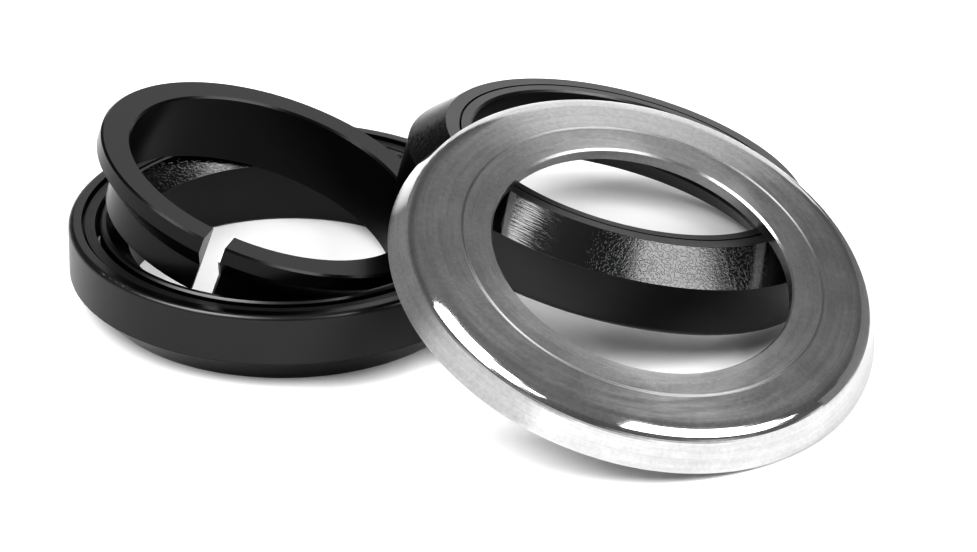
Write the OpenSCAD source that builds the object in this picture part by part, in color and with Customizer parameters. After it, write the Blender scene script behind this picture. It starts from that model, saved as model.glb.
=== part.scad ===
// Integrated bicycle headset, laid out loose: two angular-contact cartridge
// bearings, a split compression ring and a dust cap. One bearing lies flat with
// the ring dropped into it, the other leans on its edge, and the cap leans on that.

/* [Bearings] */
// Bore of both bearings
bearing_bore = 30.5; // [26:0.1:40]
// Radial width of a bearing, from its bore to its outside
bearing_w = 5.65; // [5.2:0.05:6.5]
// Height of both bearings
bearing_h = 8; // [7.5:0.1:9]
// Depth of the outer chamfer that sits in the frame's seat
seat_depth = 3; // [2.5:0.1:3.3]
// Depth of the inner chamfer that takes the ring's cone
cone_depth = 2; // [1.6:0.1:2.2]
// Rounding of the outer corner beside the seal
corner_r = 0.5; // [0.3:0.05:0.7]
// Small break on the other edges of the races
edge_break = 0.2; // [0.1:0.05:0.3]

/* [Rolling parts] */
// Diameter of one ball
ball_d = 3.175; // [2.9:0.025:3.2]
// Number of balls in each bearing
ball_count = 22; // [16:1:24]
// Running clearance between a ball and its raceway or pocket
ball_air = 0.1; // [0.06:0.01:0.14]
// Width of the oblique gap between the races, which the cage runs in
cage_gap = 1.3; // [1.2:0.05:1.5]
// Thickness of the cage
cage_t = 0.9; // [0.7:0.05:1]
// Gap between the two races at the face opposite the seal
race_gap = 0.2; // [0.15:0.01:0.3]

/* [Seals] */
// Width of the outer race's land beside the seal
rim_w = 1.25; // [1.1:0.05:1.4]
// Height of the seal
seal_h = 1; // [0.8:0.05:1.1]
// How far the seal lies below the face
seal_drop = 0.3; // [0.2:0.05:0.5]
// How deep the seal's lip grips the outer race
seal_grip = 0.25; // [0.15:0.05:0.3]
// Fine line left round the seal, outside and inside
seal_air = 0.3; // [0.2:0.05:0.4]
// Width of the inner race's flat land beside its chamfer
land_w = 0.6; // [0.4:0.05:0.8]

/* [Compression ring] */
// How far the flange stands out from the ring's skirt
flange_w = 2.48; // [2:0.01:2.6]
// Thickness of the flange's rim
flange_t = 1.6; // [1.4:0.05:2]
// Play between the ring's skirt and the bore of the bearing
skirt_air = 0.6; // [0.4:0.05:0.8]
// Wall of the ring's thin skirt
skirt_wall = 0.45; // [0.35:0.05:0.55]
// Whole height of the ring
ring_h = 6.85; // [6.2:0.05:7.4]
// Width of the slot that lets the ring close
slot_w = 2; // [1.4:0.1:2.6]

/* [Dust cap] */
// How far the cap reaches past a bearing all round
cap_reach = 2.84; // [2.4:0.02:3.2]
// Whole height of the cap's rim
cap_h = 4.06; // [3.8:0.02:4.4]
// How much wider the cap's hole is than the ring's bore, on each side
hole_air = 0.37; // [0.2:0.01:0.5]
// Thickness of the cap's plate
plate_t = 1.3; // [1.2:0.05:1.8]
// Wall of the cap's rim, which widens towards its foot
rim_wall = 0.85; // [0.8:0.05:1.2]
// Width of the flat band round the hole, up to the fine turned line
flat_w = 2.97; // [2:0.01:4]
// Fall of the plate outside the turned line, in degrees
fall = 4.5; // [3:0.5:6]
// How much the rim widens from its rounded shoulder down to its foot
rim_flare = 1.07; // [0.8:0.01:1.2]
// How far below the plate the rounded shoulder runs into the rim
edge_drop = 1.54; // [1.4:0.01:1.7]
// Rounding between the plate and the rim
shoulder_r = 2.2; // [1.8:0.1:2.4]
// Width of the turned line, which is half as deep
line_w = 0.16; // [0.1:0.02:0.24]

/* [Layout] */
// Direction of the leaning bearing from the flat one, in degrees
pair_dir = 3.2; // [0:0.2:6]
// Direction in which the leaning bearing slopes down, in degrees
lean_dir = 12.6; // [10:0.2:14]
// Direction in which the cap slopes down, in degrees
cap_dir = -47.3; // [-52:0.1:-46]
// Slope of the cap, in degrees
cap_tilt = 22; // [21.9:0.1:24]
// Slope of the compression ring, in degrees
ring_tilt = 18.3; // [17.6:0.1:18.6]
// Direction in which the compression ring slopes down, in degrees
ring_dir = -5.2; // [-8:0.1:0]
// Direction of the ring's slot, in degrees
slot_dir = -108; // [-130:1:-90]
// Air left between pieces that rest on each other
rest_air = 0.04; // [0.02:0.01:0.1]

/* [Hidden] */
$fn = 96;
BEARINGS = ["upper", "lower"];
RACE_PARTS = ["outer_race", "inner_race", "cage", "top_seal", "bottom_seal"];

// How far a cut runs past what it cuts
over = bearing_h / 4;

// Radii of a bearing, from the bore out
bore_r = bearing_bore / 2;
outer_r = bore_r + bearing_w;
bearing_od = outer_r * 2;
seat_r = outer_r - seat_depth;
cone_r = bore_r + cone_depth;
land_r = cone_r + land_w;
wall_r = outer_r - rim_w;
seal_in_r = land_r + seal_air + edge_break;
seal_out_r = wall_r - seal_air;
seal_top = bearing_h - seal_drop;
seal_base = seal_top - seal_h;
lip_h = seal_h / 2;
seal_slack = edge_break / 4;

// The balls touch both raceways on a line at 45 degrees
contact_angle = 45;
pitch_share = 0.487;
pitch_r = bore_r + bearing_w * pitch_share;
groove_r = ball_d / 2 + ball_air;
ball_z = (bearing_h + seat_depth - cone_depth) / 2 - edge_break;
half_gap = cage_gap / 2;
cage_inner_share = 0.55;
cage_outer_share = 0.8;
foot_r = (seat_r + bore_r) / 2 - race_gap;
foot_out_r = foot_r + race_gap;
gap_shift = half_gap / cos(contact_angle);

// A bottom seal that fills the fine gap between the races
low_seal_h = seal_h / 2;
low_seal_w = seal_h / 2;
low_seal_z = seal_drop;

// Compression ring
skirt_r = bore_r - skirt_air;
ring_in_r = skirt_r - skirt_wall;
flange_r = skirt_r + flange_w;
cone_h = flange_w;

// Dust cap
cap_r = outer_r + cap_reach;
cap_in_r = cap_r - rim_wall;
hole_r = ring_in_r + hole_air;
flat_r = hole_r + flat_w;
edge_r = cap_r - rim_flare;
shoulder_steps = 12;
// The rounding starts where it touches the falling plate and ends at the rim's upper edge
edge_along = (edge_r - flat_r) * cos(fall) + edge_drop * sin(fall);
edge_below = edge_drop * cos(fall) - (edge_r - flat_r) * sin(fall);
round_from = edge_along - sqrt(edge_below * (shoulder_r * 2 - edge_below));
shoulder_c_r = flat_r + round_from * cos(fall) - shoulder_r * sin(fall);
shoulder_c_z = -round_from * sin(fall) - shoulder_r * cos(fall);
shoulder_end = atan2(-edge_drop - shoulder_c_z, edge_r - shoulder_c_r);

// The leaning bearing: its lowest corner is on the floor and its underside
// rests on the flat bearing's upper edge, so its slope follows from the heights
pair_share = 0.738;
pair_run = bearing_od * pair_share;
mouth_r = cone_r;
lean_angle = acos((pow(outer_r, 2) + pow(pair_run, 2) - pow(mouth_r, 2)) / (2 * outer_r * pair_run));
lean_point = outer_r * [cos(pair_dir + lean_angle), sin(pair_dir + lean_angle)];
lean_base = pair_run * [cos(pair_dir), sin(pair_dir)];
lean_way = [cos(lean_dir), sin(lean_dir)];
// It stands on its rounded corner: each pass takes the slope found last and finds it again
lean_passes = 8;
foot_run = outer_r - corner_r;
function lean_slope(slope, passes) = passes == 0 ? slope :
  lean_slope(atan((bearing_h + rest_air - corner_r * (1 - cos(slope)))
    / ((lean_base - lean_point) * lean_way + foot_run * cos(slope))), passes - 1);
lean_tilt = lean_slope(0, lean_passes);
lean_z = foot_run * sin(lean_tilt) + corner_r * (1 - cos(lean_tilt));

// The cap: its rim stands on the floor
cap_x_share = 0.7889;
cap_y_share = -0.3997;
cap_place = [bearing_od * cap_x_share, bearing_od * cap_y_share];
cap_z = (cap_r - edge_break) * sin(cap_tilt);

// The ring: the foot of its skirt stands on the foot of the flat bearing's chamfer
// at both sides, where the sloped circle of the one crosses the circle of the other
ring_shift_share = -0.0804;
ring_shift = bearing_od * ring_shift_share;
ring_place = ring_shift * [cos(ring_dir), sin(ring_dir)];
rise_a = pow(skirt_r * sin(ring_tilt), 2);
rise_b = -2 * ring_shift * skirt_r * cos(ring_tilt);
rise_c = pow(bore_r, 2) - pow(ring_shift, 2) - pow(skirt_r, 2);
rise = (rise_b - sqrt(pow(rise_b, 2) - 4 * rise_a * rise_c)) / (2 * rise_a);
ring_z = bearing_h - cone_depth - skirt_r * sin(ring_tilt) * rise + rest_air;

// Takes a convex corner off a section and leaves it round; dir points out of the corner
module round_off(at, r, dir) {
  translate(at - dir * r) difference() {
    translate(dir * r / 2) square(r, center = true);
    circle(r);
  }
}

// Places what is modelled upright: its foot at a point on the floor plan, then sloped
module leaning(place, z, dir, tilt) {
  translate([place.x, place.y, z]) rotate(dir) rotate([0, tilt, 0]) rotate(-dir) children();
}

// The outer race: seat chamfer, wall, seal groove and the lower half of the raceway
module outer_race() {
  color("#1c1c1c") rotate_extrude() difference() {
    polygon([
      [foot_out_r, 0], [seat_r, 0], [outer_r, seat_depth], [outer_r, bearing_h],
      [wall_r, bearing_h], [wall_r, seal_base + lip_h], [wall_r + seal_grip, seal_base + lip_h],
      [wall_r + seal_grip, seal_base], [wall_r, seal_base],
      [wall_r, ball_z + wall_r - pitch_r - gap_shift],
      [foot_out_r, ball_z + foot_out_r - pitch_r - gap_shift],
      [foot_out_r, low_seal_z + low_seal_h], [foot_out_r + low_seal_w, low_seal_z + low_seal_h],
      [foot_out_r + low_seal_w, low_seal_z], [foot_out_r, low_seal_z]]);
    translate([pitch_r, ball_z]) circle(groove_r);
    round_off([outer_r, bearing_h], corner_r, [1, 1]);
  }
}

// The inner race: bore, cone chamfer, land and the upper half of the raceway
module inner_race() {
  color("#262626") rotate_extrude() difference() {
    polygon([
      [bore_r + edge_break, 0], [foot_r, 0], [foot_r, ball_z + foot_r - pitch_r + gap_shift],
      [land_r, ball_z + land_r - pitch_r + gap_shift], [land_r, bearing_h - edge_break],
      [land_r - edge_break, bearing_h], [cone_r, bearing_h], [bore_r, bearing_h - cone_depth],
      [bore_r, edge_break]]);
    translate([pitch_r, ball_z]) circle(groove_r);
  }
}

// The cage: a conical band between the races with a pocket for each ball
module cage() {
  reach = groove_r + cage_t / 2;
  along = [cos(contact_angle), sin(contact_angle)];
  inner = along * reach * cage_inner_share;
  outer = along * reach * cage_outer_share;
  across = [cos(contact_angle), -sin(contact_angle)] * cage_t / 2;
  mid = [pitch_r, ball_z];
  color("#5a4632") difference() {
    rotate_extrude() polygon([
      mid - inner - across, mid - inner + across, mid + outer + across, mid + outer - across]);
    for (i = [1:ball_count]) rotate(i * 360 / ball_count) translate([pitch_r, 0, ball_z]) sphere(groove_r);
  }
}

// One ball of a bearing
module ball(i) {
  color("silver") rotate(i * 360 / ball_count) translate([pitch_r, 0, ball_z]) sphere(d = ball_d);
}

// The seal that shows on the face, with its lip in the outer race
module top_seal() {
  color("#2e2e2e") rotate_extrude() polygon([
    [seal_in_r, seal_base], [wall_r + seal_grip - seal_slack, seal_base + seal_slack],
    [wall_r + seal_grip - seal_slack, seal_base + lip_h - seal_slack],
    [seal_out_r, seal_base + lip_h - seal_slack], [seal_out_r, seal_top], [seal_in_r, seal_top]]);
}

// The seal in the gap at the other face
module bottom_seal() {
  seal_out = foot_out_r + low_seal_w - seal_slack;
  seal_in = foot_r + race_gap / 2;
  color("#2e2e2e") rotate_extrude() polygon([
    [seal_in, low_seal_z + seal_slack], [seal_out, low_seal_z + seal_slack],
    [seal_out, low_seal_z + low_seal_h - seal_slack], [seal_in, low_seal_z + low_seal_h - seal_slack]]);
}

// The flat bearing stands chamfer down and the leaning one chamfer up
module as_upper() children();
module as_lower() {
  leaning(lean_base, lean_z, lean_dir, lean_tilt)
    translate([0, 0, bearing_h]) mirror([0, 0, 1]) children();
}
module as_ring() leaning(ring_place, ring_z, ring_dir, ring_tilt) translate([0, 0, ring_h]) children();
module as_cap() leaning(cap_place, cap_z, cap_dir, cap_tilt) translate([0, 0, cap_h]) children();

// The part of a bearing that a name stands for
module race_part(name) {
  if (name == "outer_race") outer_race();
  if (name == "inner_race") inner_race();
  if (name == "cage") cage();
  if (name == "top_seal") top_seal();
  if (name == "bottom_seal") bottom_seal();
}

// The split ring: flange, cone and thin skirt, cut through by the slot
module compression_ring() {
  color("#202020") as_ring() difference() {
    rotate_extrude() polygon([
      [ring_in_r + edge_break, 0], [flange_r - edge_break, 0], [flange_r, -edge_break],
      [flange_r, -flange_t], [skirt_r, -flange_t - cone_h], [skirt_r, -ring_h],
      [ring_in_r, -ring_h], [ring_in_r, -edge_break]]);
    rotate(slot_dir) translate([0, -slot_w / 2, -ring_h - over])
      cube([flange_r + over, slot_w, ring_h + over * 2]);
  }
}

// The cap: plate with a shallow fall, round shoulder and rim, hollow underneath
module dust_cap() {
  shoulder = [for (i = [0:shoulder_steps]) let (a = 90 - fall - (90 - fall - shoulder_end) * i / shoulder_steps)
    [shoulder_c_r + shoulder_r * cos(a), shoulder_c_z + shoulder_r * sin(a)]];
  groove = [[flat_r - line_w / 2, 0], [flat_r, -line_w / 2], [flat_r + line_w / 2, -line_w / 2 * tan(fall)]];
  color("#b4b4b4") as_cap() rotate_extrude() polygon(concat(
    [[hole_r, -plate_t], [hole_r, -edge_break], [hole_r + edge_break, 0]], groove, shoulder,
    [[cap_r, -cap_h + edge_break], [cap_r - edge_break, -cap_h], [cap_in_r + edge_break, -cap_h],
    [cap_in_r, -cap_h + edge_break], [cap_in_r - rim_flare, -plate_t - edge_break],
    [cap_in_r - rim_flare - edge_break, -plate_t]]));
}

for (p = RACE_PARTS) {
  as_upper() race_part(p);
  as_lower() race_part(p);
}
for (i = [1:ball_count]) {
  as_upper() ball(i);
  as_lower() ball(i);
}
compression_ring();
dust_cap();
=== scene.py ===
"""Looks of a loose bicycle headset: finishes, floor, studio light and camera.

The frame holds every piece at its real size and place, in metres, with its origin at the centre
of the flat bearing's underside. Nothing of it is moved here. Each piece gets its finish, with the
marks that turning, grinding and blackening leave on it, and the studio is set up round the set.
"""
import logging
import math
from dataclasses import dataclass, field
from enum import Enum
from typing import Any, Mapping, Optional, Union

import bpy
import numpy as np
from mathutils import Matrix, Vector

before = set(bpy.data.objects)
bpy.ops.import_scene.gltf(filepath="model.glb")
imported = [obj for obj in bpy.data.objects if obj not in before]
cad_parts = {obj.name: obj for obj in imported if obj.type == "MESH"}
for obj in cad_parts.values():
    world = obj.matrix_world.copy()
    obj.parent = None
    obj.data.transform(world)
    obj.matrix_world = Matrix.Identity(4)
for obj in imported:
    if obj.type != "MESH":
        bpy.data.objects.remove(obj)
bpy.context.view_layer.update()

LOG = logging.getLogger("headset")
MM = 0.001
TO_MM = 1000.0
# A quarter turn, which lays the stretch of a highlight across the marks of turning
ACROSS = 0.25
# What a band adds to reach past the edge of a piece, in millimetres
BEYOND = 1.0
# The mean of a noise
MEAN = 0.5
# What an area lamp needs for a radiance of 1 over a square metre, in watts
LAMP_POWER = 4.0
# The sockets that make a plain surface matt
MATT = {"Roughness": 0.9, "Specular IOR Level": 0.1}

Value = Union["Wire", float]
Colour = tuple[float, float, float, float]
Shade = Union["Wire", Colour]


def grey(level: float, warmth: float = 0.0) -> Colour:
    """Returns a neutral colour of one level, made a little warmer or, below zero, cooler."""
    return (level * (1 + warmth), level, level * (1 - warmth), 1.0)


class Wire:
    """A number, colour or vector on its way through a graph, with the sums of shader maths."""

    def __init__(self, graph: "Graph", socket: bpy.types.NodeSocket) -> None:
        """Keeps the graph and the output socket that the wire starts from."""
        self.graph = graph
        self.socket = socket

    def _maths(self, operation: str, first: Value, second: Value = 0.0) -> "Wire":
        """Returns a Math node's result for two numbers."""
        return self.graph.node("ShaderNodeMath", {"operation": operation}, {0: first, 1: second})

    def __add__(self, other: Value) -> "Wire":
        """Returns self + other."""
        return self._maths("ADD", self, other)

    def __radd__(self, other: Value) -> "Wire":
        """Returns other + self."""
        return self._maths("ADD", other, self)

    def __sub__(self, other: Value) -> "Wire":
        """Returns self - other."""
        return self._maths("SUBTRACT", self, other)

    def __rsub__(self, other: Value) -> "Wire":
        """Returns other - self."""
        return self._maths("SUBTRACT", other, self)

    def __mul__(self, other: Value) -> "Wire":
        """Returns self * other."""
        return self._maths("MULTIPLY", self, other)

    def __rmul__(self, other: Value) -> "Wire":
        """Returns other * self."""
        return self._maths("MULTIPLY", other, self)

    def size(self) -> "Wire":
        """Returns the number without its sign."""
        return self._maths("ABSOLUTE", self)

    def step(self, start: float, end: float, low: float = 0.0, high: float = 1.0) -> "Wire":
        """Returns a soft step.

        Args:
            start: The number up to which the result is low.
            end: The number from which the result is high.
            low: The result before the step.
            high: The result after it.

        Returns:
            A number between low and high.
        """
        return self.graph.node(
            "ShaderNodeMapRange",
            {"interpolation_type": "SMOOTHSTEP"},
            {"Value": self, "From Min": start, "From Max": end, "To Min": low, "To Max": high},
        )


class Graph:
    """The node tree of one material, or of the world."""

    def __init__(self, tree: bpy.types.NodeTree) -> None:
        """Empties the tree and keeps it."""
        tree.nodes.clear()
        self.tree = tree

    def node(
        self,
        kind: str,
        settings: Optional[Mapping[str, Any]] = None,
        inputs: Optional[Mapping[Union[str, int], Any]] = None,
        output: Union[str, int] = 0,
    ) -> Optional[Wire]:
        """Adds one node of any type.

        Args:
            kind: The node's type, such as ShaderNodeMath.
            settings: The node's own options, which are set first.
            inputs: Numbers, colours, vectors or wires for its sockets, by name or number.
            output: Name or number of the output to hand on.

        Returns:
            That output as a wire, or None for a node that has none.
        """
        made = self.tree.nodes.new(kind)
        for name, value in (settings or {}).items():
            setattr(made, name, value)
        for name, value in (inputs or {}).items():
            if isinstance(value, Wire):
                self.tree.links.new(value.socket, made.inputs[name])
            else:
                made.inputs[name].default_value = value
        return Wire(self, made.outputs[output]) if made.outputs else None

    def vector(self, operation: str, first: Any, second: Any, output: str = "Vector") -> Wire:
        """Returns a Vector Math node's result for two vectors."""
        settings = {"operation": operation}
        return self.node("ShaderNodeVectorMath", settings, {0: first, 1: second}, output)

    def dot(self, first: Any, second: Any) -> Wire:
        """Returns the dot product of two vectors."""
        return self.vector("DOT_PRODUCT", first, second, "Value")

    def scaled(self, vector: Wire, factor: float) -> Wire:
        """Returns a vector made longer or shorter by a factor."""
        settings = {"operation": "SCALE"}
        return self.node("ShaderNodeVectorMath", settings, {0: vector, "Scale": factor})

    def point(self, x: Value, y: Value, z: Value) -> Wire:
        """Returns a vector made of three numbers."""
        return self.node("ShaderNodeCombineXYZ", None, {"X": x, "Y": y, "Z": z})

    def noise(self, at: Wire, scale: float, detail: float = 2.0, roughness: float = 0.5) -> Wire:
        """Returns noise.

        Args:
            at: The point at which it is read.
            scale: How many cells there are along a unit of that point.
            detail: How many finer octaves are added.
            roughness: How strong those are.

        Returns:
            A number about a half.
        """
        return self.node(
            "ShaderNodeTexNoise",
            {"noise_dimensions": "3D"},
            {"Vector": at, "Scale": scale, "Detail": detail, "Roughness": roughness},
            "Fac",
        )

    def mixed(self, share: Wire, first: Shade, second: Shade) -> Wire:
        """Returns the colour that lies between two colours by a share from 0 to 1."""
        colours = {"Factor": share, 6: first, 7: second}
        return self.node("ShaderNodeMix", {"data_type": "RGBA"}, colours, 2)

    def bumped(self, height: Wire, depth: float) -> Wire:
        """Returns the normal over a relief.

        Args:
            height: The relief, from about 0 to 1.
            depth: How deep a full unit of it is, in metres.

        Returns:
            A wire for a shader's Normal socket.
        """
        sockets = {"Strength": 1.0, "Distance": depth, "Height": height}
        return self.node("ShaderNodeBump", None, sockets, "Normal")


@dataclass(frozen=True)
class Places:
    """Where a point of a turned piece lies, in millimetres along its own axis and across it.

    Attributes:
        graph: The graph that the wires belong to.
        at: The point, seen from the foot of the axis.
        radius: Its distance from the axis.
        height: Its height above the foot, along the axis.
        way: The direction from the axis to the point, as a vector of length 1.
    """

    graph: Graph
    at: Wire
    radius: Wire
    height: Wire
    way: Wire

    def band(
        self, radii: tuple[float, float], heights: tuple[float, float], soft: float = 0.04
    ) -> Wire:
        """Returns the mask of a turned face, with soft edges.

        Args:
            radii: The two radii that it lies between, in millimetres.
            heights: The two heights that it lies between, in millimetres.
            soft: How far its edges reach out from there, in millimetres.

        Returns:
            1 on the face and 0 elsewhere.
        """
        share = self.radius.step(radii[0] - soft, radii[0])
        share = share * self.radius.step(radii[1], radii[1] + soft, 1, 0)
        along = self.height.step(heights[0] - soft, heights[0])
        return share * (along * self.height.step(heights[1], heights[1] + soft, 1, 0))

    def rings(self, pitch: float, wander: float, detail: float = 2.0) -> Wire:
        """Returns the marks of a turning tool.

        Args:
            pitch: Distance between two marks, in millimetres.
            wander: How quickly a mark changes on its way round.
            detail: How many finer octaves are added.

        Returns:
            A number about a half, nearly constant round the axis.
        """
        along = self.graph.point(self.radius * (1 / pitch), self.height * (1 / pitch), 0.0)
        slow = self.graph.scaled(self.way, wander)
        return self.graph.noise(self.graph.vector("ADD", along, slow), 1.0, detail)


@dataclass(frozen=True)
class Grain:
    """Noise in the skin of a piece.

    Attributes:
        cells: How many cells there are to a millimetre.
        detail: How many finer octaves are added.
        roughness: How strong those are.
    """

    cells: float
    detail: float = 2.0
    roughness: float = 0.5

    def on(self, places: Places) -> Wire:
        """Returns the noise where a piece's points are, a number about a half."""
        return places.graph.noise(places.at, self.cells, self.detail, self.roughness)


@dataclass(frozen=True)
class Turning:
    """The marks that a turning or grinding tool leaves.

    Attributes:
        pitch: Distance between two marks, in millimetres.
        wander: How quickly a mark changes on its way round.
        detail: How many finer octaves are added.
    """

    pitch: float
    wander: float
    detail: float = 2.0

    def on(self, places: Places) -> Wire:
        """Returns the marks where a piece's points are, a number about a half."""
        return places.rings(self.pitch, self.wander, self.detail)


@dataclass(frozen=True)
class Spindle:
    """The axis that a turned piece was made on, found from the piece itself.

    Attributes:
        foot: The point on the axis level with the piece's lower face, in metres.
        axis: The direction of the axis, pointing up.
        radius: The largest radius of the piece, in millimetres.
        height: The height of the piece along the axis, in millimetres.
    """

    foot: Vector
    axis: Vector
    radius: float
    height: float

    @classmethod
    def of(cls, node: str) -> "Spindle":
        """Finds the axis of a ring or disc as the thinnest direction of its skin.

        Args:
            node: The name of the piece in the frame.

        Returns:
            Its spindle.
        """
        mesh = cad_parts[node].data
        mesh.calc_loop_triangles()
        corners = np.array([mesh.vertices[i].co for t in mesh.loop_triangles for i in t.vertices])
        corners = corners.reshape(-1, 3, 3)
        sides = corners[:, 1:] - corners[:, :1]
        area = np.linalg.norm(np.cross(sides[:, 0], sides[:, 1]), axis=1)
        middle = corners.mean(axis=1)
        centre = (middle * area[:, None]).sum(axis=0) / area.sum()
        apart = middle - centre
        spread = (apart * area[:, None]).T @ apart
        axis = np.linalg.eigh(spread)[1][:, 0]
        axis = axis * math.copysign(1.0, axis[2])
        points = corners.reshape(-1, 3) - centre
        along = points @ axis
        out = np.linalg.norm(points - along[:, None] * axis, axis=1)
        return cls(
            foot=Vector(centre + along.min() * axis),
            axis=Vector(axis),
            radius=float(out.max()) * TO_MM,
            height=float(np.ptp(along)) * TO_MM,
        )

    def places(self, graph: Graph) -> Places:
        """Adds the nodes that say where a point of the piece lies.

        Args:
            graph: The graph of the piece's finish.

        Returns:
            Their wires.
        """
        here = graph.node("ShaderNodeTexCoord", None, None, "Object")
        apart = graph.vector("SUBTRACT", here, self.foot)
        at = graph.vector("MULTIPLY", apart, (TO_MM,) * 3)
        height = graph.dot(at, self.axis)
        up = graph.vector("PROJECT", at, self.axis)
        out = graph.vector("SUBTRACT", at, up)
        radius = graph.vector("LENGTH", out, (0.0, 0.0, 0.0), "Value")
        way = graph.vector("NORMALIZE", out, (0.0, 0.0, 0.0))
        return Places(graph, at, radius, height, way)


@dataclass(frozen=True)
class Band:
    """A turned face of a piece: two radii and two heights, in millimetres."""

    radii: tuple[float, float]
    heights: tuple[float, float]

    def mask(self, places: Places) -> Wire:
        """Returns 1 on the face and 0 elsewhere."""
        return places.band(self.radii, self.heights)


def new_finish(name: str) -> tuple[bpy.types.Material, Graph]:
    """Makes a new material.

    Args:
        name: Its name.

    Returns:
        The material and its empty graph.
    """
    material = bpy.data.materials.new(name)
    material.use_nodes = True
    return material, Graph(material.node_tree)


def close_finish(graph: Graph, sockets: Mapping[str, Any]) -> None:
    """Adds the shader and joins it to the material's output.

    Args:
        graph: The material's graph.
        sockets: What goes into the shader's sockets, by name.
    """
    shader = graph.node("ShaderNodeBsdfPrincipled", None, sockets)
    graph.node("ShaderNodeOutputMaterial", None, {"Surface": shader})


@dataclass(frozen=True)
class BlackSteel:
    """Ground bearing steel, blackened.

    Its walls are satin, its flat top is scratched all round, and its chamfer shines through a
    crackle of fine specks, or on one side through straight grinding streaks.

    Attributes:
        dark: The wall's darkest grey.
        pale: The wall's palest grey.
        shine: How much light the chamfer gives back.
        streak_shine: The same where straight streaks run over it.
        land: How much light the flat top gives back.
        edge_tint: How much of the light at a grazing angle the chamfer keeps.
        satin: Roughness of the walls.
        gloss: Roughness of the chamfer.
        land_gloss: How far the flat top goes from satin to gloss.
        cloud_rough: How much the roughness changes over the piece.
        land_fade: How far below the top the flat top's finish begins and is full, in millimetres.
        cloud: Slow changes over the piece.
        specks: The chamfer's specks.
        worms: Noise whose middle line is the crackle between the specks.
        worm_width: How wide a line of the crackle is, as a change of that noise.
        speck_share: How much of the relief the specks are.
        worm_share: How much of it the crackle is.
        streaks: The straight streaks, before they are drawn out.
        streak_way: The direction that the streaks run in.
        streak_stretch: How much of a streak's run is taken out of its pattern.
        streak_place: The side of the bearing that they are on.
        streak_fade: Where round the bearing the streaks begin and are full, as a cosine.
        grind: Grinding marks round the walls and the flat top.
        speckle_depth: Depth of the chamfer's relief, in metres.
        streak_depth: Depth of the streaks, in metres.
        scratch_depth: Depth of the scratches round the flat top, in metres.
        grind_depth: Depth of the wall's grinding marks, in metres.
    """

    dark: float = 0.038
    pale: float = 0.046
    shine: float = 0.06
    streak_shine: float = 0.09
    land: float = 0.08
    edge_tint: float = 0.62
    satin: float = 0.33
    gloss: float = 0.14
    land_gloss: float = 0.2
    cloud_rough: float = 0.08
    land_fade: tuple[float, float] = (0.25, 0.03)
    cloud: Grain = Grain(0.16, 3.0)
    specks: Grain = Grain(1 / 0.24, 3.0, 0.6)
    worms: Grain = Grain(1 / 0.45)
    worm_width: float = 0.05
    speck_share: float = 0.55
    worm_share: float = 0.3
    streaks: Grain = Grain(1 / 0.15)
    streak_way: tuple[float, float, float] = (0.825, -0.534, -0.175)
    streak_stretch: float = 0.94
    streak_place: tuple[float, float, float] = (-0.42, -0.9, 0.0)
    streak_fade: tuple[float, float] = (0.93, 0.985)
    grind: Turning = Turning(0.09, 1.5)
    speckle_depth: float = 22e-6
    streak_depth: float = 18e-6
    scratch_depth: float = 5e-6
    grind_depth: float = 1.2e-6

    def chamfer_relief(self, places: Places, streaky: Wire) -> Wire:
        """Returns the chamfer's relief.

        Args:
            places: Where the race's points lie.
            streaky: 1 where straight streaks run, and 0 where specks and a crackle are.

        Returns:
            A number, in units of the speckle's depth.
        """
        graph = places.graph
        run = graph.scaled(graph.vector("PROJECT", places.at, self.streak_way), self.streak_stretch)
        drawn = graph.vector("SUBTRACT", places.at, run)
        streaks = graph.noise(drawn, self.streaks.cells, self.streaks.detail)
        specks = self.specks.on(places)
        worms = (self.worms.on(places) - MEAN).size().step(0.0, self.worm_width)
        crackle = specks * self.speck_share + worms * self.worm_share
        return crackle + streaky * (streaks * (self.streak_depth / self.speckle_depth) - crackle)

    def build(self, name: str, spindle: Spindle, chamfer: Band) -> bpy.types.Material:
        """Makes the finish for one race.

        Args:
            name: The material's name.
            spindle: The axis of the race.
            chamfer: The face that is left glossy.

        Returns:
            The material.
        """
        material, graph = new_finish(name)
        places = spindle.places(graph)
        shiny = chamfer.mask(places)
        fade_start, fade_end = (spindle.height - drop for drop in self.land_fade)
        top = places.height.step(fade_start, fade_end) * (1 - shiny)
        grind = self.grind.on(places)
        cloud = self.cloud.on(places)
        streaky = graph.dot(places.way, self.streak_place).step(*self.streak_fade)
        relief = shiny * self.chamfer_relief(places, streaky)
        relief = relief + grind * (1 - shiny) * (self.grind_depth / self.speckle_depth)
        relief = relief + grind * top * (self.scratch_depth / self.speckle_depth)
        rough = self.satin + (shiny + top * self.land_gloss) * (self.gloss - self.satin)
        skin = {
            "Metallic": 1.0,
            "Roughness": rough + (cloud - MEAN) * self.cloud_rough,
            "Normal": graph.bumped(relief, self.speckle_depth),
        }
        black = graph.mixed(cloud, grey(self.dark), grey(self.pale))
        plain = {"Base Color": graph.mixed(top, black, grey(self.land)), **skin}
        shine = graph.mixed(streaky, grey(self.shine), grey(self.streak_shine))
        bevel = {"Base Color": shine, "Specular Tint": grey(self.edge_tint), **skin}
        wall, slope = (
            graph.node("ShaderNodeBsdfPrincipled", None, sockets) for sockets in (plain, bevel)
        )
        whole = graph.node("ShaderNodeMixShader", None, {0: shiny, 1: wall, 2: slope})
        graph.node("ShaderNodeOutputMaterial", None, {"Surface": whole})
        return material


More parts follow.
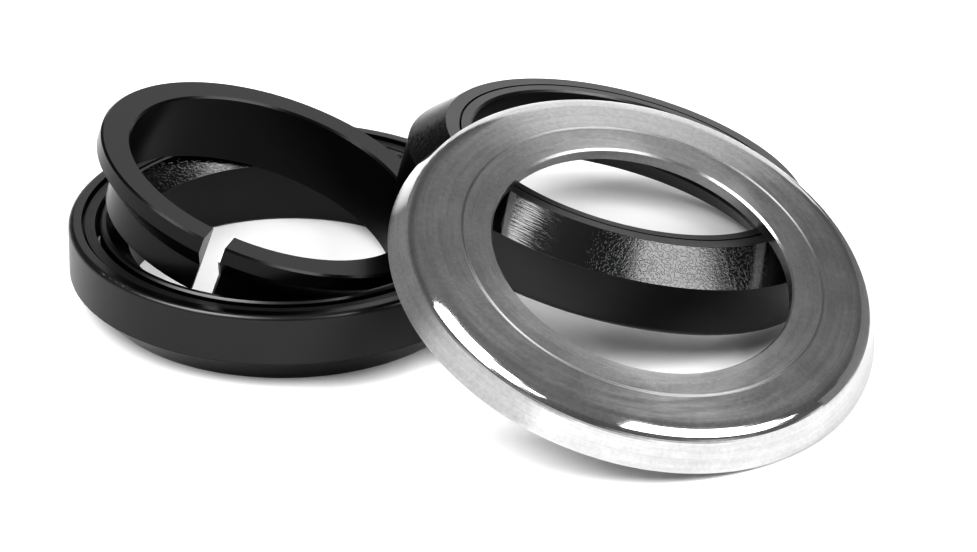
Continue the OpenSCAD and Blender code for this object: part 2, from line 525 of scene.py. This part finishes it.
@dataclass(frozen=True)
class BlackAnodised:
    """Turned aluminium, anodised black and slit later, so that the cut is bare.

    Attributes:
        dark: The darkest grey of the anodising.
        pale: Its palest grey.
        satin: Its roughness.
        cloud_rough: How much the roughness changes over the piece.
        sheen_level: How strongly it shines.
        bare: Grey of the bare cut.
        bare_rough: Roughness of the cut.
        cut_fade: How far past the slot's wall the bare metal ends, in millimetres.
        cloud: Slow changes over the piece.
        turning: Marks of the turning tool.
        turn_depth: Depth of those, in metres.
    """

    dark: float = 0.002
    pale: float = 0.004
    satin: float = 0.24
    cloud_rough: float = 0.06
    sheen_level: float = 0.25
    bare: float = 0.78
    bare_rough: float = 0.3
    cut_fade: tuple[float, float] = (0.01, 0.03)
    cloud: Grain = Grain(0.2, 3.0)
    turning: Turning = Turning(0.12, 2.0)
    turn_depth: float = 1.5e-6

    def build(
        self, name: str, spindle: Spindle, slot_way: Vector, slot_w: float
    ) -> bpy.types.Material:
        """Makes the finish for the split ring.

        Args:
            name: The material's name.
            spindle: The axis of the ring.
            slot_way: The direction from the axis to the slot.
            slot_w: The slot's width in millimetres.

        Returns:
            The material.
        """
        material, graph = new_finish(name)
        places = spindle.places(graph)
        ahead = graph.dot(places.at, slot_way).step(0.0, 1.0)
        aside = graph.dot(places.at, spindle.axis.cross(slot_way)).size()
        bare_to, black_from = (slot_w / 2 + fade for fade in self.cut_fade)
        cut = ahead * aside.step(bare_to, black_from, 1, 0)
        cloud = self.cloud.on(places)
        rough = self.satin + cut * (self.bare_rough - self.satin)
        black = graph.mixed(cloud, grey(self.dark), grey(self.pale))
        close_finish(
            graph,
            {
                "Base Color": graph.mixed(cut, black, grey(self.bare)),
                "Metallic": cut,
                "Specular IOR Level": self.sheen_level,
                "Roughness": rough + (cloud - MEAN) * self.cloud_rough,
                "Normal": graph.bumped(self.turning.on(places), self.turn_depth),
            },
        )
        return material


@dataclass(frozen=True)
class TurnedAluminium:
    """Bare turned aluminium: rings left by the tool, a faint grain and handling marks.

    Attributes:
        dark: The darkest grey of the metal.
        pale: Its palest grey.
        line_dark: Grey of the fine line turned into the plate, painted darker than the plate as the
        shade in its groove.
        plate_rough: Roughness of the plate.
        edge_rough: Roughness of the shoulder and the rim.
        hole_rough: What the roughness gains at the hole's edge.
        line_rough: What it gains in the fine line.
        cloud_rough: How much it changes over the cap.
        broad_rough: How much it changes with the plate's broad rings.
        edge_fade: Where the shoulder's finish begins and is full, outwards from the plate's end,
            in millimetres.
        line_fade: How far from its middle the fine line begins to end and ends, in millimetres.
        hole_fade: How far the rougher metal reaches out from the hole, in millimetres.
        near_fade: How far the deeper rings reach out from the hole, in millimetres.
        fine: The fine rings.
        broad: The broad rings.
        grain: The grain of the metal.
        cloud: Handling marks.
        tone_shares: How much of the tone the fine rings, the broad ones, the grain and the
            handling marks make.
        tone_fade: The tone up to which the metal is dark, and that from which it is pale.
        fine_share: How much of the relief the fine rings are.
        near_share: What they gain at the hole.
        broad_share: How much of the relief the broad rings are.
        edge_smooth: How much of the relief the shoulder loses.
        ring_depth: Depth of the relief, in metres.
        grain_depth: Depth of the grain, in metres.
        stretch: How far highlights are stretched across the rings.
    """

    dark: float = 0.40
    pale: float = 0.53
    line_dark: float = 0.36
    plate_rough: float = 0.22
    edge_rough: float = 0.085
    hole_rough: float = 0.09
    line_rough: float = 0.3
    cloud_rough: float = 0.12
    broad_rough: float = 0.12
    edge_fade: tuple[float, float] = (-0.4, 0.3)
    line_fade: tuple[float, float] = (0.12, 0.2)
    hole_fade: float = 2.6
    near_fade: float = 3.4
    fine: Turning = Turning(0.1, 1.2, 3.0)
    broad: Turning = Turning(0.7, 3.5)
    grain: Grain = Grain(2.4, 4.0, 0.6)
    cloud: Grain = Grain(0.22, 3.0, 0.55)
    tone_shares: tuple[float, float, float, float] = (0.25, 0.2, 0.3, 0.25)
    tone_fade: tuple[float, float] = (0.34, 0.66)
    fine_share: float = 0.7
    near_share: float = 0.9
    broad_share: float = 0.3
    edge_smooth: float = 0.75
    ring_depth: float = 2.2e-6
    grain_depth: float = 0.45e-6
    stretch: float = 0.8

    def build(
        self, name: str, spindle: Spindle, line_r: float, plate_r: float, hole_r: float
    ) -> bpy.types.Material:
        """Makes the finish for the cap.

        Args:
            name: The material's name.
            spindle: The axis of the cap.
            line_r: Radius of the fine line turned into the plate, in millimetres.
            plate_r: Where the plate ends and its smoother shoulder begins, in millimetres.
            hole_r: Radius of the hole, in millimetres.

        Returns:
            The material.
        """
        material, graph = new_finish(name)
        places = spindle.places(graph)
        edge_start, edge_end = (plate_r + fade for fade in self.edge_fade)
        edge = places.radius.step(edge_start, edge_end)
        line = (places.radius - line_r).size().step(*self.line_fade, 1, 0)
        near = places.radius.step(hole_r, hole_r + self.near_fade, 1, 0)
        fine, broad = self.fine.on(places), self.broad.on(places)
        grain, cloud = self.grain.on(places), self.cloud.on(places)
        in_fine, in_broad, in_grain, in_cloud = self.tone_shares
        tone = fine * in_fine + broad * in_broad + grain * in_grain + cloud * in_cloud
        metal = graph.mixed(tone.step(*self.tone_fade), grey(self.dark), grey(self.pale))
        rough = self.plate_rough + edge * (self.edge_rough - self.plate_rough)
        rough = rough + (cloud - MEAN) * self.cloud_rough
        rough = rough + (broad - MEAN) * self.broad_rough * (1 - edge)
        rough = rough + places.radius.step(hole_r, hole_r + self.hole_fade, self.hole_rough, 0)
        relief = fine * (self.fine_share + near * self.near_share) + broad * self.broad_share
        relief = relief * (1 - edge * self.edge_smooth)
        relief = relief + grain * (self.grain_depth / self.ring_depth)
        close_finish(
            graph,
            {
                # The fine line is painted a darker grey: painted shade in its groove
                "Base Color": graph.mixed(line, metal, grey(self.line_dark)),
                "Metallic": 1.0,
                "Roughness": rough + line * self.line_rough,
                "Anisotropic": self.stretch,
                "Anisotropic Rotation": ACROSS,
                "Normal": graph.bumped(relief, self.ring_depth),
            },
        )
        return material


@dataclass(frozen=True)
class SealRubber:
    """Moulded rubber of a seal: matt, with shallow ridges round it.

    Attributes:
        dark: The darkest grey of the rubber.
        pale: Its palest grey.
        matt: Its roughness.
        pore_rough: How much the roughness changes with the pores.
        ridges: The ridges round the seal.
        pores: The pores of the rubber.
        cloud: Slow changes over the seal.
        ridge_share: How much of the relief the ridges are.
        pore_share: How much of it the pores are.
        depth: Depth of the relief, in metres.
    """

    dark: float = 0.007
    pale: float = 0.015
    matt: float = 0.46
    pore_rough: float = 0.2
    ridges: Turning = Turning(0.22, 0.4, 1.0)
    pores: Grain = Grain(6.0)
    cloud: Grain = Grain(0.5)
    ridge_share: float = 0.8
    pore_share: float = 0.2
    depth: float = 30e-6

    def build(self, name: str, spindle: Spindle) -> bpy.types.Material:
        """Makes the finish for the seals of one bearing.

        Args:
            name: The material's name.
            spindle: The axis of their bearing.

        Returns:
            The material.
        """
        material, graph = new_finish(name)
        places = spindle.places(graph)
        pores = self.pores.on(places)
        relief = self.ridges.on(places) * self.ridge_share + pores * self.pore_share
        tone = graph.mixed(self.cloud.on(places), grey(self.dark), grey(self.pale))
        close_finish(
            graph,
            {
                "Base Color": tone,
                "Roughness": self.matt + (pores - MEAN) * self.pore_rough,
                "Normal": graph.bumped(relief, self.depth),
            },
        )
        return material


@dataclass(frozen=True)
class CagePlastic:
    """Brown moulded plastic of a ball cage, with a faint grain.

    Attributes:
        dark: The darkest brown of the plastic.
        pale: Its palest brown.
        tone_fade: The grain up to which the plastic is dark, and that from which it is pale.
        matt: Its roughness.
        grain_rough: How much the roughness changes with the grain.
        grain: The grain of the plastic.
        grain_depth: Depth of the grain, in metres.
    """

    dark: Colour = (0.10, 0.065, 0.035, 1.0)
    pale: Colour = (0.20, 0.13, 0.07, 1.0)
    tone_fade: tuple[float, float] = (0.3, 0.7)
    matt: float = 0.5
    grain_rough: float = 0.25
    grain: Grain = Grain(3.5, 3.0)
    grain_depth: float = 8e-6

    def build(self, name: str, spindle: Spindle) -> bpy.types.Material:
        """Makes the finish for one cage.

        Args:
            name: The material's name.
            spindle: The axis of its bearing.

        Returns:
            The material.
        """
        material, graph = new_finish(name)
        grain = self.grain.on(spindle.places(graph))
        close_finish(
            graph,
            {
                "Base Color": graph.mixed(grain.step(*self.tone_fade), self.dark, self.pale),
                "Roughness": self.matt + (grain - MEAN) * self.grain_rough,
                "Normal": graph.bumped(grain, self.grain_depth),
            },
        )
        return material


@dataclass(frozen=True)
class BallSteel:
    """Lapped steel of a bearing ball, with a haze of grease.

    Attributes:
        pale: Grey of the clean steel.
        greasy: How much of that grey shows through the grease.
        warmth: How much warmer the grease makes it.
        polish: Roughness of the clean steel.
        haze: Roughness of the grease.
        smear: Noise that places the grease.
        smear_fade: The noise up to which the steel is clean, and that from which it is greasy.
    """

    pale: float = 0.62
    greasy: float = 0.8
    warmth: float = 0.04
    polish: float = 0.07
    haze: float = 0.18
    smear: Grain = Grain(1.3, 3.0)
    smear_fade: tuple[float, float] = (0.45, 0.7)

    def build(self, name: str, spindle: Spindle) -> bpy.types.Material:
        """Makes the finish for all balls of one bearing.

        Args:
            name: The material's name.
            spindle: The axis of that bearing.

        Returns:
            The material.
        """
        material, graph = new_finish(name)
        smear = self.smear.on(spindle.places(graph)).step(*self.smear_fade)
        clean, greasy = grey(self.pale), grey(self.pale * self.greasy, self.warmth)
        close_finish(
            graph,
            {
                "Base Color": graph.mixed(smear, clean, greasy),
                "Metallic": 1.0,
                "Roughness": self.polish + smear * (self.haze - self.polish),
            },
        )
        return material


def dress(node: str, material: bpy.types.Material) -> None:
    """Puts one finish on a piece of the frame, on all its faces.

    Args:
        node: The piece's name.
        material: The finish.
    """
    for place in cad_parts[node].material_slots:
        place.material = material
    LOG.info("%s has the finish %s", node, material.name)


class Lies(Enum):
    """Which way up a bearing lies on the floor."""

    CHAMFER_DOWN = "chamfer down"
    CHAMFER_UP = "chamfer up"


@dataclass
class Bearing:
    """One cartridge bearing: two races, a cage, balls and two seals.

    Attributes:
        name: The first word of its pieces' names.
        lies: Which way up it lies.
        seat_depth: Depth of the outer chamfer, in millimetres.
        cone_depth: Depth of the inner chamfer, in millimetres.
        seat_edge: How far out from the outer chamfer's inner edge its finish begins, in
            millimetres.
        cone_edge: How far out from the bore the inner chamfer's finish begins, in millimetres.
        width: Radial width of the bearing, in millimetres.
        balls: The number of balls.
        spindle: Its axis, found from the outer race.
    """

    name: str
    lies: Lies
    seat_depth: float = 3.0
    cone_depth: float = 2.0
    seat_edge: float = 0.03
    cone_edge: float = 0.02
    width: float = 5.65
    balls: int = 22
    spindle: Spindle = field(init=False)

    def __post_init__(self) -> None:
        """Finds the axis from the outer race."""
        self.spindle = Spindle.of(f"{self.name}_outer_race")

    def outer_chamfer(self) -> Band:
        """Finds the outer race's conical face, which sits in the frame of the bicycle.

        Returns:
            The face.
        """
        radius, height = self.spindle.radius, self.spindle.height
        radii = (radius - self.seat_depth + self.seat_edge, radius + BEYOND)
        if self.lies is Lies.CHAMFER_UP:
            return Band(radii, (height - self.seat_depth, height + BEYOND))
        return Band(radii, (-BEYOND, self.seat_depth))

    def inner_chamfer(self) -> Band:
        """Finds the inner race's conical face, which takes the split ring.

        Returns:
            The face.
        """
        bore, height = self.spindle.radius - self.width, self.spindle.height
        radii = (bore + self.cone_edge, bore + self.cone_depth)
        if self.lies is Lies.CHAMFER_UP:
            return Band(radii, (-BEYOND, self.cone_depth))
        return Band(radii, (height - self.cone_depth, height + BEYOND))

    def dress_races(self, outer: BlackSteel, inner: BlackSteel) -> None:
        """Puts blackened steel on both races.

        Args:
            outer: The outer race's steel.
            inner: The inner race's steel.
        """
        for side, finish, chamfer in (
            ("outer", outer, self.outer_chamfer()),
            ("inner", inner, self.inner_chamfer()),
        ):
            material = finish.build(f"{self.name}_{side}_black", self.spindle, chamfer)
            dress(f"{self.name}_{side}_race", material)

    def dress_inside(self, rubber: SealRubber, plastic: CagePlastic, steel: BallSteel) -> None:
        """Puts the finishes on the seals, the cage and the balls.

        Args:
            rubber: The seals' rubber.
            plastic: The cage's plastic.
            steel: The balls' steel.
        """
        seal = rubber.build(f"{self.name}_seal_rubber", self.spindle)
        for side in ("top", "bottom"):
            dress(f"{self.name}_{side}_seal", seal)
        dress(f"{self.name}_cage", plastic.build(f"{self.name}_cage_plastic", self.spindle))
        ball = steel.build(f"{self.name}_ball_steel", self.spindle)
        for number in range(1, self.balls + 1):
            dress(f"{self.name}_ball_{number}", ball)


@dataclass
class CompressionRing:
    """The split ring that centres the steerer tube.

    Attributes:
        node: Its name in the frame.
        slot_dir: Direction of its slot seen from above, in degrees from +X.
        slot_w: Width of the slot, in millimetres.
    """

    node: str = "compression_ring"
    slot_dir: float = -108.0
    slot_w: float = 2.0

    def dress_ring(self, finish: BlackAnodised) -> None:
        """Puts black anodising on the ring, and bare metal on the faces of its slot.

        Args:
            finish: The anodising.
        """
        spindle = Spindle.of(self.node)
        turn = math.radians(self.slot_dir)
        flat = Vector((math.cos(turn), math.sin(turn), 0.0))
        way = (flat - spindle.axis * flat.dot(spindle.axis)).normalized()
        dress(self.node, finish.build("ring_black", spindle, way, self.slot_w))


@dataclass
class DustCap:
    """The turned cap that covers the bearing.

    Attributes:
        node: Its name in the frame.
        line: How far in from the rim the fine turned line runs, in millimetres.
        shoulder: How far in from the rim the smooth shoulder begins, in millimetres.
        hole: How far in from the rim the hole's edge runs, in millimetres.
    """

    node: str = "dust_cap"
    line: float = 6.2
    shoulder: float = 2.9
    hole: float = 9.0

    def dress_cap(self, finish: TurnedAluminium) -> None:
        """Puts turned aluminium on the cap.

        Args:
            finish: The aluminium.
        """
        spindle = Spindle.of(self.node)
        rim = spindle.radius
        material = finish.build(
            "cap_silver", spindle, rim - self.line, rim - self.shoulder, rim - self.hole
        )
        dress(self.node, material)


@dataclass(frozen=True)
class Softbox:
    """A lamp behind a flat white screen, which hangs level above the set.

    Attributes:
        name: Its name.
        x: Where it begins and ends along X, in metres.
        y: Where it begins and ends along Y, in metres.
        z: Its height, in metres.
        glow: Radiance of the screen.
    """

    name: str
    x: tuple[float, float]
    y: tuple[float, float]
    z: float
    glow: float

    def hang(self) -> None:
        """Makes the lamp."""
        lamp = bpy.data.lights.new(self.name, "AREA")
        lamp.shape = "RECTANGLE"
        lamp.size = self.x[1] - self.x[0]
        lamp.size_y = self.y[1] - self.y[0]
        lamp.energy = self.glow * LAMP_POWER * lamp.size * lamp.size_y
        holder = bpy.data.objects.new(self.name, lamp)
        holder.location = (sum(self.x) / 2, sum(self.y) / 2, self.z)
        holder.visible_camera = False
        bpy.context.scene.collection.objects.link(holder)
        LOG.info("%s hangs at %s", self.name, tuple(holder.location))


@dataclass(frozen=True)
class ShadeCard:
    """A low dark card beside the set that only shows where metal mirrors it.

    It is a painted reflection of shade: it stands for the shaded floor on the right of the set that
    the cap mirrors, and it casts no shadow.

    Attributes:
        ends: The two ends of its lower edge on the floor, in metres.
        height: Its height, in metres.
        dark: How much light it gives back.
    """

    ends: tuple[tuple[float, float], tuple[float, float]]
    height: float
    dark: float

    def stand(self) -> None:
        """Makes the card."""
        corners = [(*end, height) for height in (0.0, self.height) for end in self.ends]
        mesh = bpy.data.meshes.new("shade_card")
        mesh.from_pydata(corners, [], [(0, 1, 3, 2)])
        shade_card = bpy.data.objects.new("shade_card", mesh)
        for kind in ("camera", "diffuse", "shadow", "transmission"):
            setattr(shade_card, f"visible_{kind}", False)
        bpy.context.scene.collection.objects.link(shade_card)
        material, graph = new_finish("shade_card_dark")
        close_finish(graph, {"Base Color": grey(self.dark), **MATT})
        mesh.materials.append(material)


@dataclass(frozen=True)
class Sector:
    """A part of the room, told by its direction from the set.

    Attributes:
        way: The direction that points into it.
        start: How far a direction has to reach along that one for the part to begin.
        end: How far it has to reach for the part to be full.
    """

    way: tuple[float, float, float]
    start: float
    end: float

    def mask(self, graph: Graph, direction: Wire) -> Wire:
        """Returns 1 where a direction points into the part and 0 elsewhere."""
        return graph.dot(direction, self.way).step(self.start, self.end)


@dataclass
class Studio:
    """The plain floor, the light and the camera.

    Attributes:
        floor_size: Width of the floor, in metres.
        floor_pale: How much light the floor gives back.
        floor_cloud: How much that changes over the floor, up and down.
        floor_cells: How many changes there are to a metre.
        floor_gap: How far the floor lies under the set, in millimetres.
        eye: The camera's place, in metres.
        pitch: How far the camera looks down, in degrees.
        lens: Its focal length, in millimetres.
        sensor: Width of its sensor, in millimetres.
        nearest: How near it sees, in metres.
        room: The faint light from all round.
        ceiling: The light from straight above.
        ceiling_fade: How high the ceiling begins and is full, as a sine.
        side: What the left side adds.
        side_fade: How high the left side's light begins to end and ends, as a sine.
        left: The left side.
        skirting: The light from low down in front of the set.
        skirting_fade: How high that begins to end and ends, as a sine.
        front: The room in front of the set.
        screen: The light from a pale screen behind the set.
        under_screen: The room under the screen's slanting upper edge.
        beside_screen: The room on the left of its right edge.
        look: How the picture's contrast is set.
        softboxes: The lamps.
        shade_card: The dark card.
    """

    floor_size: float = 5.0
    floor_pale: float = 0.93
    floor_cloud: float = 0.01
    floor_cells: float = 9.0
    floor_gap: float = 0.02
    eye: tuple[float, float, float] = (0.0195, -0.5933, 0.3091)
    pitch: float = 27.4
    lens: float = 254.9
    sensor: float = 36.0
    nearest: float = 0.05
    room: float = 0.2
    ceiling: float = 0.3
    ceiling_fade: tuple[float, float] = (0.55, 0.8)
    side: float = 0.18
    side_fade: tuple[float, float] = (0.2, 0.45)
    left: Sector = Sector((-1.0, 0.0, 0.0), 0.2, 0.7)
    skirting: float = 0.85
    skirting_fade: tuple[float, float] = (0.17, 0.27)
    front: Sector = Sector((-0.28, -0.96, 0.0), 0.1, 0.5)
    screen: float = 1.1
    under_screen: Sector = Sector((2.4, 1.0, -1.7), -0.08, 0.08)
    beside_screen: Sector = Sector((-1.0, 0.57, 0.0), -0.01, 0.01)
    look: str = "High Contrast"
    softboxes: tuple[Softbox, ...] = (
        Softbox("softbox_right", (0.305, 1.55), (-0.75, -0.11), 0.6, 4.9),
        Softbox("softbox_left", (-0.90, -0.145), (-0.72, -0.04), 0.6, 4.9),
    )
    shade_card: ShadeCard = ShadeCard(((0.076, -0.027), (0.054, 0.016)), 0.014, 0.28)

    def lay_floor(self) -> None:
        """Makes the floor, matt and nearly white, a little way under the set."""
        half = self.floor_size / 2
        corners = [(-half, -half, 0), (half, -half, 0), (half, half, 0), (-half, half, 0)]
        mesh = bpy.data.meshes.new("floor")
        mesh.from_pydata(corners, [], [(0, 1, 2, 3)])
        floor = bpy.data.objects.new("floor", mesh)
        floor.location.z = -self.floor_gap * MM
        bpy.context.scene.collection.objects.link(floor)
        material, graph = new_finish("floor_white")
        here = graph.node("ShaderNodeTexCoord", None, None, "Object")
        cloud = graph.noise(here, self.floor_cells)
        darkest = grey(self.floor_pale - self.floor_cloud)
        palest = grey(self.floor_pale + self.floor_cloud)
        close_finish(graph, {"Base Color": graph.mixed(cloud, darkest, palest), **MATT})
        mesh.materials.append(material)

    def light_room(self) -> None:
        """Makes the light of the room, which the set mirrors while the camera sees white.

        It is faint all round, a little brighter above and low on the left, and pale low down in
        front of the set and on a screen behind it.
        """
        world = bpy.data.worlds.new("room")
        world.use_nodes = True
        bpy.context.scene.world = world
        graph = Graph(world.node_tree)
        way = graph.node("ShaderNodeTexCoord", None, None, "Generated")
        high = graph.dot(way, (0.0, 0.0, 1.0))
        side = self.left.mask(graph, way) * high.step(*self.side_fade, 1, 0)
        skirting = self.front.mask(graph, way) * high.step(*self.skirting_fade, 1, 0)
        screen = self.under_screen.mask(graph, way) * self.beside_screen.mask(graph, way)
        glow = high.step(*self.ceiling_fade, self.room, self.ceiling) + side * self.side
        glow = glow + skirting * (self.skirting - self.room)
        glow = glow + screen * (self.screen - self.room)
        seen = graph.node("ShaderNodeLightPath", None, None, "Is Camera Ray")
        level = glow + seen * (1 - glow)
        sky = graph.node("ShaderNodeBackground", None, {"Color": level, "Strength": 1.0})
        graph.node("ShaderNodeOutputWorld", None, {"Surface": sky})

    def place_camera(self) -> None:
        """Makes the camera, which looks along +Y and down."""
        lens = bpy.data.cameras.new("camera")
        lens.lens = self.lens
        lens.sensor_width = self.sensor
        lens.clip_start = self.nearest
        camera = bpy.data.objects.new("camera", lens)
        camera.location = self.eye
        camera.rotation_euler = (math.radians(90 - self.pitch), 0.0, 0.0)
        bpy.context.scene.collection.objects.link(camera)
        bpy.context.scene.camera = camera

    def set_up(self) -> None:
        """Sets up the camera, the floor and the light, and the picture's contrast."""
        self.place_camera()
        self.lay_floor()
        self.light_room()
        for softbox in self.softboxes:
            softbox.hang()
        self.shade_card.stand()
        bpy.context.scene.view_settings.view_transform = "Standard"
        bpy.context.scene.view_settings.look = self.look


def main() -> None:
    """Dresses the set piece by piece and sets the studio up."""
    logging.basicConfig(level=logging.INFO, format="%(name)s: %(message)s")
    # The flat bearing's outer chamfer faces the floor. Its shine is lowered as painted shade for
    # the shadowed floor under the bearing that it mirrors, though it is the same steel as the other
    # chamfers
    painted_shade_steel = BlackSteel(shine=0.013, streak_shine=0.013)
    dark_top = BlackSteel(land=0.055)
    flat, leaning = Bearing("upper", Lies.CHAMFER_DOWN), Bearing("lower", Lies.CHAMFER_UP)
    for bearing, outer in ((flat, painted_shade_steel), (leaning, dark_top)):
        bearing.dress_races(outer, dark_top)
        bearing.dress_inside(SealRubber(), CagePlastic(), BallSteel())
    CompressionRing().dress_ring(BlackAnodised())
    DustCap().dress_cap(TurnedAluminium())
    Studio().set_up()


if __name__ == "__main__":
    main()
